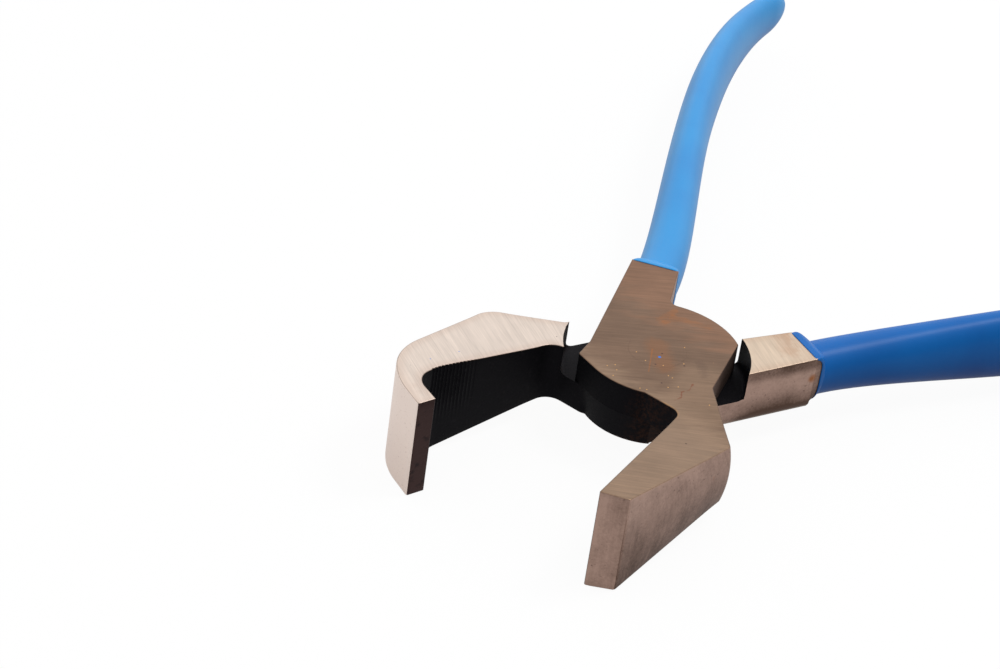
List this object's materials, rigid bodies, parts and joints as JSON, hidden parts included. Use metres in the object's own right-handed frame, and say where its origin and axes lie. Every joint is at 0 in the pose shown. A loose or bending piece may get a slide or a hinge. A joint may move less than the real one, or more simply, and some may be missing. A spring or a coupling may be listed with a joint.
{
  "type": "lap-joint pincers",
  "caption": "Hand pincers with one straight and one hooked, toothed jaw on a riveted lap joint, and long bowed handles in blue dip coating.",
  "frame": {"origin": "on the rivet's axis, at the joint's lower ground cheek", "axes": "+X towards the straight jaw's side, +Y from the joint towards the handles (the jaws point to -Y), +Z along the rivet from the lower cheek to the upper one"},
  "size_m": [0.1574, 0.2111, 0.0226],
  "materials": {
    "anvil_steel": "ground, brown-grey with light rust",
    "hook_steel": "bright ground, black forge scale on the inner faces",
    "rivet_steel": "ground flush with the cheeks",
    "dip_coating": "satin dipped vinyl"
  },
  "bodies": {
    "hook_half": {"hook_lever": "hook_steel", "hook_lever_grip": "dip_coating", "pivot_rivet": "rivet_steel"},
    "anvil_half": {"anvil_lever": "anvil_steel", "anvil_lever_grip": "dip_coating"}
  },
  "joints": [
    {"name": "jaw_pivot", "type": "hinge", "parent": "hook_half", "child": "anvil_half", "pos_m": [0, 0, 0.0065], "axis": [0, 0, -1], "range_deg": [-33, 40.5]}
  ]
}
